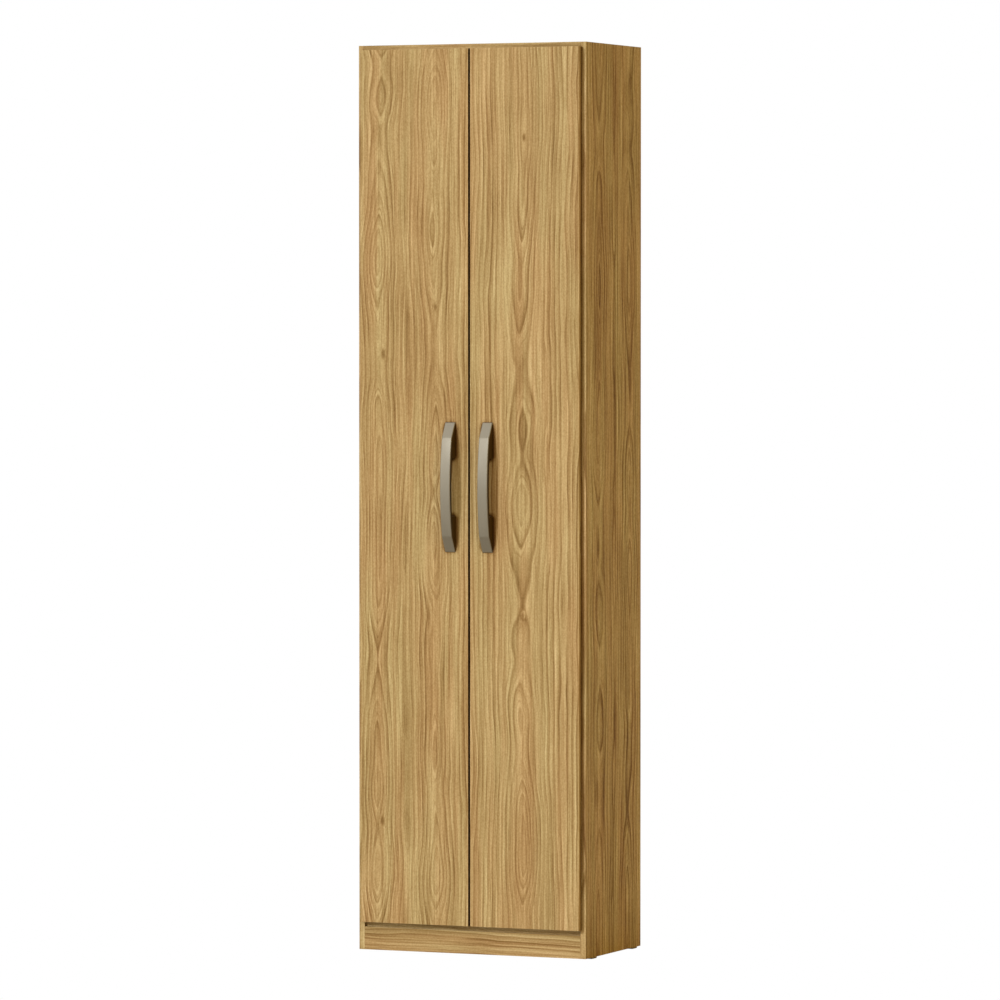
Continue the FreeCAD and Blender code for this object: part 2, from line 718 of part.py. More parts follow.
def hinge_cup(name, side, level, pivots):
    """Round cup with two solid cheeks for the pins, and the flange that is screwed to the door."""
    middle = across_from_side(side, "door_reveal + cup_setback")
    barrel = rod("cup_barrel", "cup_radius", "cup_depth", (middle, DOOR_BACK, level), "-y")
    flange = block("cup_flange", ("cup_flange_width", "cup_flange_depth", "cup_flange_height"),
                   (f"{middle} - cup_flange_width / 2", DOOR_BACK, f"{level} - cup_flange_height / 2"))
    top = f"{DOOR_BACK} + cup_flange_depth"
    well = rod("cup_well", "cup_radius - cup_wall", "cup_depth + cup_flange_depth - cup_floor",
               (middle, top, level), "-y")
    edge = f"{middle} - cup_radius"
    slab = block("cup_slab", ("2 * cup_radius", "cup_depth + cup_flange_depth", "2 * cup_mouth_half"),
                 (edge, f"{DOOR_BACK} - cup_depth", f"{level} - cup_mouth_half"))
    relief = block("cup_relief",
                   ("2 * cup_radius", "cup_relief_sink + cup_flange_depth", "2 * cup_relief_half"),
                   (edge, f"{DOOR_BACK} - cup_relief_sink", f"{level} - cup_relief_half"))
    tools = [shared("cup_mouth", well, slab), relief]
    for pivot in ("cup_outer", "cup_inner"):
        at = (*pivots[pivot], f"{level} - cup_cheek_reach")
        tools.append(rod("pin_bore", "hinge_pin_radius + fit_play", "2 * cup_cheek_reach", at, "z"))
    for step in (-1, 1):
        at = (f"{middle} - {side} * cup_screw_offset", top, f"{level} + {step} * cup_screw_spacing / 2")
        tools.append(rod("screw_bore", "cup_screw_radius + fit_play", "cup_flange_depth", at, "-y"))
    return drilled(name, joined(name + "_blank", [barrel, flange]), tools)


def hinges(name, side):
    """Three concealed hinges of one door: arms on the carcass, cups on the door, links between."""
    panel = f"{name}_side_panel"
    leaf = f"{name}_door_panel"
    pivots = hinge_pivots(side)
    face = across_from_side(side, "carcass_board")
    middle = across_from_side(side, "door_reveal + cup_setback")
    outer_links, inner_links, slide_pins, cup_pins, cup_screws = [], [], [], [], []
    for place, level in HINGE_LEVELS.items():
        plate = f"{name}_{place}_mounting_plate"
        plate_face = across_from_side(side, "carcass_board + plate_board")
        web_face = across_from_side(side, "carcass_board + plate_board + arm_web")
        for step in (-1, 1):
            at = (plate_face, f"{FRONT} + plate_inset", f"{level} + {step} * plate_screw_half")
            length = "plate_board + plate_screw_grip"
            shank = rod("screw_shank", "plate_screw_radius", length, at, outward(side))
            head = rod("screw_head", "plate_screw_head_radius", "plate_screw_head_height", at,
                       inward(side))
            plate_screws.append(joined("plate_screw", [shank, head]))
            bore(plate, "plate_screw_radius", "plate_board", at, outward(side))
            bore(panel, "plate_screw_radius", f"{length} + fit_play", at, outward(side))
        at = (web_face, f"{FRONT} + arm_screw_inset", level)
        length = "arm_web + plate_board + arm_screw_grip"
        shank = rod("screw_shank", "arm_screw_radius", length, at, outward(side))
        head = rod("screw_head", "arm_screw_head_radius", "arm_screw_head_height", at, inward(side))
        arm_screws.append(joined("arm_screw", [shank, head]))
        bore(plate, "arm_screw_radius", length, at, outward(side))
        bore(panel, "arm_screw_radius", f"{length} + fit_play", at, outward(side))
        arm = f"{name}_{place}_hinge_arm"
        bore(arm, "arm_screw_radius", length, at, outward(side))
        finish_board(plate, mounting_plate(plate, side, level))
        finish_board(arm, hinge_arm(arm + "_blank", side, level, pivots))
        node(f"{name}_{place}_hinge_cup", hinge_cup(f"{name}_{place}_hinge_cup", side, level, pivots))
        bore(leaf, "cup_radius", "cup_depth + fit_play", (middle, DOOR_BACK, level), "-y")
        for step in (-1, 1):
            at = (f"{middle} - {side} * cup_screw_offset", f"{DOOR_BACK} + cup_flange_depth",
                  f"{level} + {step} * cup_screw_spacing / 2")
            shank = rod("screw_shank", "cup_screw_radius", "cup_screw_length", at, "-y")
            head = rod("screw_head", "cup_screw_head_radius", "cup_screw_head_height", at, "y")
            cup_screws.append(joined("cup_screw", [shank, head]))
            bore(leaf, "cup_screw_radius", "cup_screw_length + fit_play", at, "-y")
        inner_links.append(link_bar("inner_link", pivots["arm_inner"], pivots["cup_inner"],
                                    f"({level} - inner_link_half)", f"({level} + inner_link_half)",
                                    ("fit_play", "running_play")))
        for low, high in (("outer_link_from", "outer_link_to"), ("-outer_link_to", "-outer_link_from")):
            outer_links.append(link_bar("outer_link", pivots["arm_outer"], pivots["cup_outer"],
                                        f"({level} + {low})", f"({level} + {high})",
                                        ("running_play", "running_play")))
        arm_pins.append(rod("arm_pin", "hinge_pin_radius", "2 * arm_cheek_to",
                            (*pivots["arm_outer"], f"{level} - arm_cheek_to"), "z"))
        slide_pins.append(rod("slide_pin", "hinge_pin_radius", "2 * arm_cheek_to",
                              (*pivots["arm_inner"], f"{level} - arm_cheek_to"), "z"))
        cup_pins.append(rod("cup_pin", "hinge_pin_radius", "2 * cup_cheek_reach",
                            (*pivots["cup_inner"], f"{level} - cup_cheek_reach"), "z"))
        for low in ("outer_pin_from", "-cup_cheek_reach"):
            cup_pins.append(rod("cup_stub", "hinge_pin_radius", "cup_cheek_reach - outer_pin_from",
                                (*pivots["cup_outer"], f"{level} + {low}"), "z"))
    group(f"{name}_outer_links", outer_links)
    group(f"{name}_inner_links", inner_links)
    group(f"{name}_slide_pins", slide_pins)
    group(f"{name}_cup_pins", cup_pins)
    group(f"{name}_cup_screws", cup_screws)


plate_screws, arm_screws, arm_pins = [], [], []
carcass_joints()
small_shelves()
back_sheets()
glide_feet()
for name, side in SIDES.items():
    hinges(name, side)
    door(name, side)
group("plate_screws", plate_screws)
group("arm_screws", arm_screws)
group("arm_pins", arm_pins)

# Carcass boards come last, when every bore in them is known.
for name, side in SIDES.items():
    label = f"{name}_side_panel"
    start = "-cabinet_width / 2" if side < 0 else INSIDE
    size = ("carcass_board", "side_depth", "cabinet_height - glide_height")
    blank = faced_board(label + "_blank", size, (start, FRONT, "glide_height"),
                        lambda edge: on_front(edge) and upright(edge))
    finish_board(label, blank)
between = f"2 * {INSIDE}"
finish_board("top_panel", block("top_panel_blank", (between, "side_depth", "carcass_board"),
                                (f"-{INSIDE}", FRONT, "cabinet_height - carcass_board")))
for label, setback, level in (("bottom_panel", "bottom_setback", FLOOR_UNDER),
                              ("upper_shelf", "upper_shelf_setback", UPPER_SHELF)):
    size = (between, f"side_depth - {setback}", "carcass_board")
    finish_board(label, block(label + "_blank", size, (f"-{INSIDE}", f"{FRONT} + {setback}", level)))
finish_board("front_plinth", block("front_plinth_blank", (between, "carcass_board", "plinth_height"),
                                   (f"-{INSIDE}", FRONT, "glide_height")))
size = ("carcass_board", "side_depth - divider_setback", f"{UPPER_SHELF} - {FLOOR}")
at = ("divider_offset - carcass_board / 2", f"{FRONT} + divider_setback", FLOOR)
finish_board("centre_divider", block("centre_divider_blank", size, at))

DOC.recompute()
faults = [item.Label for item in DOC.Objects if "Invalid" in item.State or "Error" in item.State]
faults += [piece.Label for piece in nodes if piece.Shape.isNull() or not piece.Shape.isValid()]
if faults:
    raise RuntimeError("failed pieces: " + ", ".join(faults))
os.makedirs("parts", exist_ok=True)
for piece in nodes:
    piece.Shape.exportStep(f"parts/{piece.Label}.step")
print(len(nodes), "pieces written")
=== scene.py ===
import json
import math

import bpy
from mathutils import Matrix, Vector


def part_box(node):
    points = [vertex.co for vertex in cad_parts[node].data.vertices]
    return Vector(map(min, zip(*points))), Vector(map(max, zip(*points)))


# Broom cupboard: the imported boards, doors, handles and fittings get their finishes here,
# and stand on a pale floor in soft studio light. Lengths are in metres.

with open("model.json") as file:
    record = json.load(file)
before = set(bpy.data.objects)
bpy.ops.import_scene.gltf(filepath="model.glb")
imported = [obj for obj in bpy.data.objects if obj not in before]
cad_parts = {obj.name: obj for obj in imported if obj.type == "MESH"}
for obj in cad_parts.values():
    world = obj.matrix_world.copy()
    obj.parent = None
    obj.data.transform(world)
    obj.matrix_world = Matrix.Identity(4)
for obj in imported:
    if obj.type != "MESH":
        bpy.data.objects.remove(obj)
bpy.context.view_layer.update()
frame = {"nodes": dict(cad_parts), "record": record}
bpy.ops.object.select_all(action="DESELECT")
bpy.context.scene.view_settings.view_transform = "Standard"


class Nodes:
    """Node tree of a material or of the studio, with a short call for each kind of node that it uses."""

    def __init__(self, owner):
        owner.use_nodes = True
        self.tree = owner.node_tree
        self.tree.nodes.clear()

    def add(self, kind, sockets=(), **settings):
        node = self.tree.nodes.new("ShaderNode" + kind)
        for name, value in settings.items():
            setattr(node, name, value)
        for index, value in sockets:
            self.feed(node.inputs[index], value)
        return node

    def feed(self, socket, value):
        """Links a socket to another, or sets it to a number, a vector or a colour."""
        if isinstance(value, bpy.types.NodeSocket):
            self.tree.links.new(value, socket)
        elif socket.type == "RGBA":
            socket.default_value = (*value, 1.0)
        else:
            socket.default_value = value

    def reckon(self, operation, *terms):
        """Arithmetic on single numbers."""
        return self.add("Math", enumerate(terms), operation=operation).outputs[0]

    def plus(self, first, second):
        return self.reckon("ADD", first, second)

    def minus(self, first, second):
        return self.reckon("SUBTRACT", first, second)

    def times(self, first, *others):
        for other in others:
            first = self.reckon("MULTIPLY", first, other)
        return first

    def over(self, first, second):
        return self.reckon("DIVIDE", first, second)

    def most(self, first, second):
        return self.reckon("MAXIMUM", first, second)

    def spread(self, value, low, high, to_low, to_high):
        """One range of numbers onto another, held at its ends."""
        return self.add("MapRange", enumerate((value, low, high, to_low, to_high))).outputs[0]

    def mix(self, factor, first, second, blend="MIX"):
        """Two colours mixed. The node's inputs 6 and 7 and its output 2 are the ones for colours."""
        sockets = ((0, factor), (6, first), (7, second))
        return self.add("Mix", sockets, data_type="RGBA", blend_type=blend).outputs[2]

    def unless_seen(self, shader, seen_shader):
        """One shader for light, and another for what the camera sees of it."""
        seen = self.add("LightPath").outputs["Is Camera Ray"]
        sockets = ((0, seen), (1, shader.outputs[0]), (2, seen_shader.outputs[0]))
        return self.add("MixShader", sockets).outputs[0]


class Finish(Nodes):
    """Material with one shader, whose patterns lie on object coordinates."""

    def __init__(self, name):
        self.material = bpy.data.materials.new(name)
        super().__init__(self.material)
        self.shader = self.add("BsdfPrincipled")
        self.add("OutputMaterial", (("Surface", self.shader.outputs[0]),))
        self.spot = self.add("TexCoord").outputs["Object"]
        self.axes = dict(zip("XYZ", self.add("SeparateXYZ", ((0, self.spot),)).outputs))

    def stretched(self, vector, scale, shift):
        """Coordinates scaled per axis, then shifted to another part of a pattern."""
        scaled = self.add("VectorMath", ((0, vector), (1, scale)), operation="MULTIPLY").outputs[0]
        return self.add("VectorMath", ((0, scaled), (1, shift)), operation="ADD").outputs[0]

    def noise(self, vector, detail, roughness=0.5):
        sockets = (("Vector", vector), ("Scale", 1.0), ("Detail", detail), ("Roughness", roughness))
        return self.add("TexNoise", sockets).outputs[0]

    def speckle(self, scale, shift, detail, roughness=0.5):
        """Noise on object coordinates, with a scale and a shift for each axis."""
        return self.noise(self.stretched(self.spot, scale, shift), detail, roughness)

    def ramp(self, value, stops):
        node = self.add("ValToRGB", ((0, value),))
        points = node.color_ramp.elements
        while len(points) < len(stops):
            points.new(0.5)
        for point, (position, colour) in zip(points, stops):
            point.position = position
            point.color = (*colour, 1.0)
        return node.outputs[0]

    def facing(self, letter):
        """How squarely the surface faces along an axis, from 0 to 1."""
        split = self.add("SeparateXYZ", ((0, self.add("TexCoord").outputs["Normal"]),))
        return self.reckon("ABSOLUTE", split.outputs["XYZ".index(letter)])

    def tint(self, red, green, blue):
        return self.add("CombineColor", enumerate((red, green, blue))).outputs[0]

    def paint(self, colour, tint, roughness):
        """Base colour, which is a colour multiplied by a tint, and roughness."""
        self.feed(self.shader.inputs["Base Color"], self.mix(1.0, colour, tint, "MULTIPLY"))
        self.feed(self.shader.inputs["Roughness"], roughness)

    def bump(self, height, strength, distance):
        sockets = (("Strength", strength), ("Distance", distance), ("Height", height))
        self.feed(self.shader.inputs["Normal"], self.add("Bump", sockets).outputs[0])


def grey(value):
    return (value, value, value)


def greys(*stops):
    """Stops of a ramp in grey."""
    return tuple((position, grey(value)) for position, value in stops)


# Wood-look foil: its colours, and how much faster green and blue darken than red.
GROUND_WOOD = (0.450, 0.341, 0.160)
ROSY_WOOD = (0.450, 0.300, 0.138)
GREEN_DEPTH = 1.27
BLUE_DEPTH = 1.75
DARKEST = 0.02

# Layers of the grain: repeats in a metre across and along it, then the noise's detail and roughness.
LAYERS = {
    "sway": (6.0, 2.4, 1.0, 0.5),
    "drift": (17.0, 5.5, 2.0, 0.5),
    "tremor": (60.0, 6.0, 2.0, 0.5),
    "patch": (26.0, 7.0, 2.0, 0.5),
    "fibre": (310.0, 4.5, 3.0, 0.6),
    "cloud": (10.0, 6.0, 2.0, 0.5),
    "streak": (34.0, 2.8, 2.0, 0.5),
    "speck": (420.0, 260.0, 1.0, 0.5),
    "pore": (800.0, 30.0, 1.0, 0.5),
    "rub": (40.0, 22.0, 3.0, 0.5),
    "blush": (28.0, 2.2, 2.0, 0.5),
}
MIDDLE_NOISE = 0.5

# Growth rings: arches stacked in columns, then drift and tremor counted in rings.
RING_WIDTH = 0.0105
COLUMN_TIP = 0.004
COLUMN_REACH = 0.022
COLUMN_JOIN = 0.02
COLUMN_STEP = 7.3
COLUMN_ROW = 1.7
ARCH_DETAIL = 1.0
SWAY_REACH = 0.034
SWAY_THROUGH = 0.4
DRIFT_RINGS = 1.5
TREMOR_RINGS = 0.20
FINE_RINGS = 2.1
FINE_DRIFT = 3.0

# Knots: length to width, the rings that they push aside, how they fall off in knot sizes, and how dark.
KNOT_LENGTH = 2.4
KNOT_RINGS = 0.35
KNOT_FALL = (0.2, 2.2, 1.0, 0.0)
KNOT_DARK = (0.35, 0.80, 0.0, 0.8)

# Dark lines and pale gleams across one ring, and how far one ring's line may be fainter than another's.
RING_LINE = greys(
    (0.0, 0.16), (0.12, 0.0), (0.42, 0.16), (0.68, 0.52), (0.84, 0.96), (0.93, 0.66), (1.0, 0.16))
RING_GLEAM = greys((0.0, 0.8), (0.12, 1.0), (0.36, 0.0), (0.95, 0.0), (1.0, 0.8))
FINE_LINE = greys((0.0, 0.0), (0.55, 0.10), (0.82, 1.0), (1.0, 0.0))
RING_LINE_DEPTHS = (0.35, 1.0)
FINE_LINE_DEPTHS = (0.10, 0.75)
LINE_DEPTH = 0.58
GLEAM_DEPTH = 0.13

# Ends of a layer's noise, and the tone or the amount that each gives.
PATCH = (0.3, 0.65, 0.30, 1.0)
PORE = (0.60, 0.74, 0.0, 1.0)
RUB = (0.40, 0.62, 0.60, 1.0)
BAND_BLUSH = (0.38, 0.62, 0.0, 0.75)
STREAK_BLUSH = (0.40, 0.64, 0.0, 0.25)
SHADES = {
    "fibre": (0.25, 0.75, 0.73, 1.27),
    "cloud": (0.3, 0.7, 0.95, 1.05),
    "streak": (0.3, 0.7, 1.08, 0.90),
    "speck": (0.25, 0.75, 0.88, 1.12),
}
PORE_DEPTH = 0.16
MEAN_SHADE = 0.85

# Board ends, where the grain fades, rims rubbed pale with a painted highlight, and painted shade in the
# narrow gaps of the front.
END_TURN = (0.70, 0.90)
END_CONTRAST = 0.25
RIM_WIDTH = 0.0016
RIM_WEAR_AND_HIGHLIGHT = 0.08
GAP_SHADE_REACH = 0.010
GAP_SHADE_SAMPLES = 8
FRONT_MARGIN = 0.001

# Surface of the foil.
FOIL_ROUGHNESS = (0.48, 0.58)
FOIL_GLOSS = 0.12
FIBRE_RELIEF = 0.4
FOIL_BUMP = (0.05, 0.0004)

# Places from the frame that the finishes lie by.
DOOR_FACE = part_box("left_door_panel")[0].y
SIDE_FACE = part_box("right_side_panel")[1].x
CARCASS_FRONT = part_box("front_plinth")[0].y
DIVIDER_MIDDLE = sum(corner.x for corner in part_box("centre_divider")) / 2
HANDLE_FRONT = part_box("left_handle")[0].y


class WoodFoil(Finish):
    """Wood-look foil on one board. run names the axes across, through and along the grain, shift picks
    the part of the pattern that the board shows, and coarse widens the grain."""

    def __init__(self, name, run, shift, coarse):
        super().__init__(name)
        self.shift = shift
        self.across, self.through, self.along = (self.axes[letter] for letter in run)
        widened = [self.over(axis, coarse) for axis in (self.across, self.through)]
        self.grain = self.add("CombineXYZ", enumerate((*widened, self.along))).outputs[0]

    def layer(self, name, shift=None):
        across, along, detail, roughness = LAYERS[name]
        scale = (across, across, along)
        return self.noise(self.stretched(self.grain, scale, shift or self.shift), detail, roughness)

    def arches(self, face, columns):
        """Distance into the growth rings, which stand in pointed arches about the columns' middles."""
        sway = self.times(self.minus(self.layer("sway"), MIDDLE_NOISE), SWAY_REACH)
        sway = self.plus(sway, self.times(self.minus(self.through, face), SWAY_THROUGH))
        rings = None
        for index, (middle, pace, swing) in enumerate(columns):
            off = self.plus(self.minus(self.across, middle), sway)
            square = self.times(off, off)
            valley = self.reckon("SQRT", self.plus(square, COLUMN_TIP ** 2))
            start = (self.shift[0] + COLUMN_STEP * index, COLUMN_ROW, self.shift[2])
            rise = self.noise(self.stretched(self.grain, (0.0, 0.0, pace), start), ARCH_DETAIL)
            rise = self.times(self.minus(rise, MIDDLE_NOISE), swing)
            fade = self.plus(self.times(square, COLUMN_REACH ** -2), 1.0)
            arch = self.plus(valley, self.over(rise, fade))
            rings = arch if rings is None else self.reckon("SMOOTH_MIN", rings, arch, COLUMN_JOIN)
        return rings

    def knot_eyes(self, knots):
        """1 in the middle of each knot, falling to 0 round it."""
        eyes = 0.0
        for middle, height, size in knots:
            wide = self.over(self.minus(self.across, middle), size)
            tall = self.over(self.minus(self.along, height), KNOT_LENGTH * size)
            far = self.plus(self.reckon("POWER", wide, 2.0), self.reckon("POWER", tall, 2.0))
            eyes = self.most(self.spread(self.reckon("SQRT", far), *KNOT_FALL), eyes)
        return eyes

    def lines(self, count, stops, depths):
        """One line to a ring, each ring's with its own depth."""
        drawn = self.ramp(self.reckon("FRACT", count), stops)
        ring = ((1, self.reckon("FLOOR", count)),)
        chance = self.add("TexWhiteNoise", ring, noise_dimensions="1D").outputs[0]
        return self.times(drawn, self.spread(chance, 0.0, 1.0, *depths))

    def rubbed_and_highlit_rims(self, rims):
        """1 on the rims, where the foil is paler from rubbing and from a painted highlight along the
        edge, and 0 away from them.
        """
        rim = 0.0
        for letter, place in rims:
            off = self.reckon("ABSOLUTE", self.minus(self.axes[letter], place))
            rim = self.most(self.spread(off, 0.0, RIM_WIDTH, 1.0, 0.0), rim)
        return self.times(rim, self.spread(self.layer("rub"), *RUB))

    def painted_gap_shade(self, depth):
        """Painted shade: the share of light left in the front's narrow gaps, from ambient occlusion.
        Behind the carcass's front it is all.
        """
        sockets = (("Distance", GAP_SHADE_REACH),)
        room = self.add("AmbientOcclusion", sockets, samples=GAP_SHADE_SAMPLES).outputs["AO"]
        front = CARCASS_FRONT + FRONT_MARGIN
        behind = self.spread(self.axes["Y"], front, front + GAP_SHADE_REACH / 2, 0.0, 1.0)
        return self.most(self.reckon("POWER", room, depth), behind)


def wood_finish(name, run, shift, columns, face=0.0, knots=(), rims=(), coarse=1.0, bold=1.0,
                tone=1.0, gap_shade=0.0):
    """Wood-look foil, plainer on the board's ends. A column is the middle of a stack of pointed arches:
    its place across, the pace of its arches and how far they swing. face is the place, through the
    board, where the columns stand as given. A knot is its place across, its place along and its size.
    The rims are rubbed pale with a painted highlight, coarse widens the grain, bold deepens it, tone
    lightens or darkens the whole board, and painted shade darkens it in the narrow gaps of the front."""
    foil = WoodFoil(name, run, shift, coarse)
    drift = foil.layer("drift")
    count = foil.over(foil.arches(face, columns), RING_WIDTH * coarse)
    count = foil.plus(count, foil.times(drift, DRIFT_RINGS))
    count = foil.plus(count, foil.times(foil.layer("tremor"), TREMOR_RINGS))
    eyes = foil.knot_eyes(knots)
    if knots:
        count = foil.plus(count, foil.times(eyes, KNOT_RINGS))
    fine = foil.plus(foil.times(count, FINE_RINGS), foil.times(drift, FINE_DRIFT))

    patch = foil.spread(foil.layer("patch"), *PATCH)
    line = foil.lines(count, RING_LINE, RING_LINE_DEPTHS)
    thin = foil.lines(fine, FINE_LINE, FINE_LINE_DEPTHS)
    gleam = foil.times(foil.ramp(foil.reckon("FRACT", count), RING_GLEAM), patch)
    pore = foil.spread(foil.layer("pore"), *PORE)
    dark = foil.times(foil.most(line, thin), patch)
    if knots:
        dark = foil.most(dark, foil.spread(eyes, *KNOT_DARK))

    layers = {layer: foil.layer(layer) for layer in SHADES}
    shade = foil.times(*(foil.spread(layers[layer], *ends) for layer, ends in SHADES.items()))
    shade = foil.times(shade, foil.spread(dark, 0.0, 1.0, 1.0, 1.0 - LINE_DEPTH))
    shade = foil.plus(shade, foil.times(gleam, GLEAM_DEPTH))
    shade = foil.minus(shade, foil.times(pore, PORE_DEPTH))
    contrast = foil.spread(foil.facing(run[2]), *END_TURN, bold * tone, END_CONTRAST * tone)
    shade = foil.times(foil.minus(shade, MEAN_SHADE), contrast)
    shade = foil.plus(shade, MEAN_SHADE * tone)
    # Rims paler from rubbing and from a painted highlight along the edges.
    if rims:
        shade = foil.plus(shade, foil.times(foil.rubbed_and_highlit_rims(rims), RIM_WEAR_AND_HIGHLIGHT))
    # Painted shade: the foil's colour is darkened in the narrow gaps of the front, between and beside
    # the doors.
    if gap_shade:
        shade = foil.times(shade, foil.painted_gap_shade(gap_shade))
    shade = foil.most(shade, DARKEST)

    blush = foil.spread(foil.layer("blush", shift[::-1]), *BAND_BLUSH)
    blush = foil.plus(blush, foil.spread(layers["streak"], *STREAK_BLUSH))
    green = foil.reckon("POWER", shade, GREEN_DEPTH)
    blue = foil.reckon("POWER", shade, BLUE_DEPTH)
    roughness = foil.spread(dark, 0.0, 1.0, *FOIL_ROUGHNESS)
    foil.paint(foil.mix(blush, GROUND_WOOD, ROSY_WOOD), foil.tint(shade, green, blue), roughness)
    foil.shader.inputs["Specular IOR Level"].default_value = FOIL_GLOSS
    relief = foil.minus(foil.times(layers["fibre"], FIBRE_RELIEF), foil.plus(dark, pore))
    foil.bump(relief, *FOIL_BUMP)
    return foil.material


# Metal: brushing along Z and a soft mist over it, as scale, shift and detail.
BRUSH = ((2600.0, 2600.0, 60.0), (3.0, 1.0, 2.0), 2.0)
MIST = ((30.0, 30.0, 12.0), (1.0, 5.0, 2.0), 2.0)
BRUSH_TONE = (0.3, 0.7, 0.94, 1.04)
MIST_TONE = (0.3, 0.7, 0.96, 1.03)
MIST_ENDS = (0.3, 0.7)
MIST_ROUGHNESS = (-0.04, 0.05)
METAL_BUMP = (0.04, 0.0001)
FLANK_TURN = (0.80, 0.98)


def satin_metal(name, colour, roughness, metallic, painted_flanks=None):
    """Fine brushing over plated or cast metal. Flanks that face along X, on both sides, can take painted
    shade and painted reflection, given as their front and back place and the colour the metal is toned
    by at each."""
    metal = Finish(name)
    brush = metal.speckle(*BRUSH)
    mist = metal.speckle(*MIST)
    shade = metal.times(metal.spread(brush, *BRUSH_TONE), metal.spread(mist, *MIST_TONE))
    tint = metal.tint(shade, shade, shade)
    # Painted shade on both X-facing flanks, near black at the front, turning to a brown painted
    # reflection of the shaded door at the back.
    if painted_flanks:
        (front, front_shade), (back, back_reflection) = painted_flanks
        turned = metal.spread(metal.facing("X"), *FLANK_TURN, 0.0, 1.0)
        depth = metal.spread(metal.axes["Y"], front, back, 0.0, 1.0)
        tint = metal.mix(turned, tint, metal.mix(depth, front_shade, back_reflection))
    roughnesses = (roughness + change for change in MIST_ROUGHNESS)
    metal.paint(colour, tint, metal.spread(mist, *MIST_ENDS, *roughnesses))
    metal.shader.inputs["Metallic"].default_value = metallic
    metal.bump(brush, *METAL_BUMP)
    return metal.material


# Plastic: texture and scuffing, as scale, shift and detail.
TEXTURE = ((900.0, 900.0, 900.0), (0.0, 0.0, 0.0), 2.0)
SCUFF = ((60.0, 60.0, 60.0), (4.0, 4.0, 4.0), 3.0)
SCUFF_TONE = (0.3, 0.7, 0.86, 1.06)
SCUFF_ROUGHNESS = (0.3, 0.7, 0.40, 0.58)
PLASTIC_BUMP = (0.08, 0.0002)


def moulded_plastic(name, colour):
    """Plain moulded plastic with a faint texture and some scuffing."""
    plastic = Finish(name)
    texture = plastic.speckle(*TEXTURE)
    scuff = plastic.speckle(*SCUFF)
    shade = plastic.spread(scuff, *SCUFF_TONE)
    plastic.paint(colour, plastic.tint(shade, shade, shade), plastic.spread(scuff, *SCUFF_ROUGHNESS))
    plastic.bump(texture, *PLASTIC_BUMP)
    return plastic.material


# Hardboard: pressed fibres, as scale, shift, detail and roughness, and cloudiness.
FLECK = ((260.0, 260.0, 260.0), (2.0, 2.0, 2.0), 5.0, 0.7)
FLECK_COLOURS = ((0.25, (0.16, 0.095, 0.045)), (0.55, (0.27, 0.165, 0.08)), (0.8, (0.36, 0.235, 0.12)))
FLECK_ROUGHNESS = (0.3, 0.7, 0.62, 0.8)
BOARD_CLOUD = ((11.0, 11.0, 11.0), (6.0, 6.0, 6.0), 3.0)
BOARD_CLOUD_TONE = (0.3, 0.7, 0.95, 1.05)
BOARD_BUMP = (0.12, 0.0004)


def pressed_board(name):
    """Brown hardboard of the back sheets, with pressed fibres and faint cloudiness."""
    sheet = Finish(name)
    fleck = sheet.speckle(*FLECK)
    shade = sheet.spread(sheet.speckle(*BOARD_CLOUD), *BOARD_CLOUD_TONE)
    colour = sheet.ramp(fleck, FLECK_COLOURS)
    sheet.paint(colour, sheet.tint(shade, shade, shade), sheet.spread(fleck, *FLECK_ROUGHNESS))
    sheet.bump(fleck, *BOARD_BUMP)
    return sheet.material


def rims_of(node, letters):
    """Places of a board's outer edges, along the given axes."""
    return [(letter, corner["XYZ".index(letter)]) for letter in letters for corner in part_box(node)]


# Axes across, through and along the grain of each kind of board.
UPRIGHT_FRONT = ("X", "Y", "Z")
UPRIGHT_SIDE = ("Y", "X", "Z")
LEVEL_FRONT = ("Z", "Y", "X")
LEVEL_BOARD = ("Y", "Z", "X")

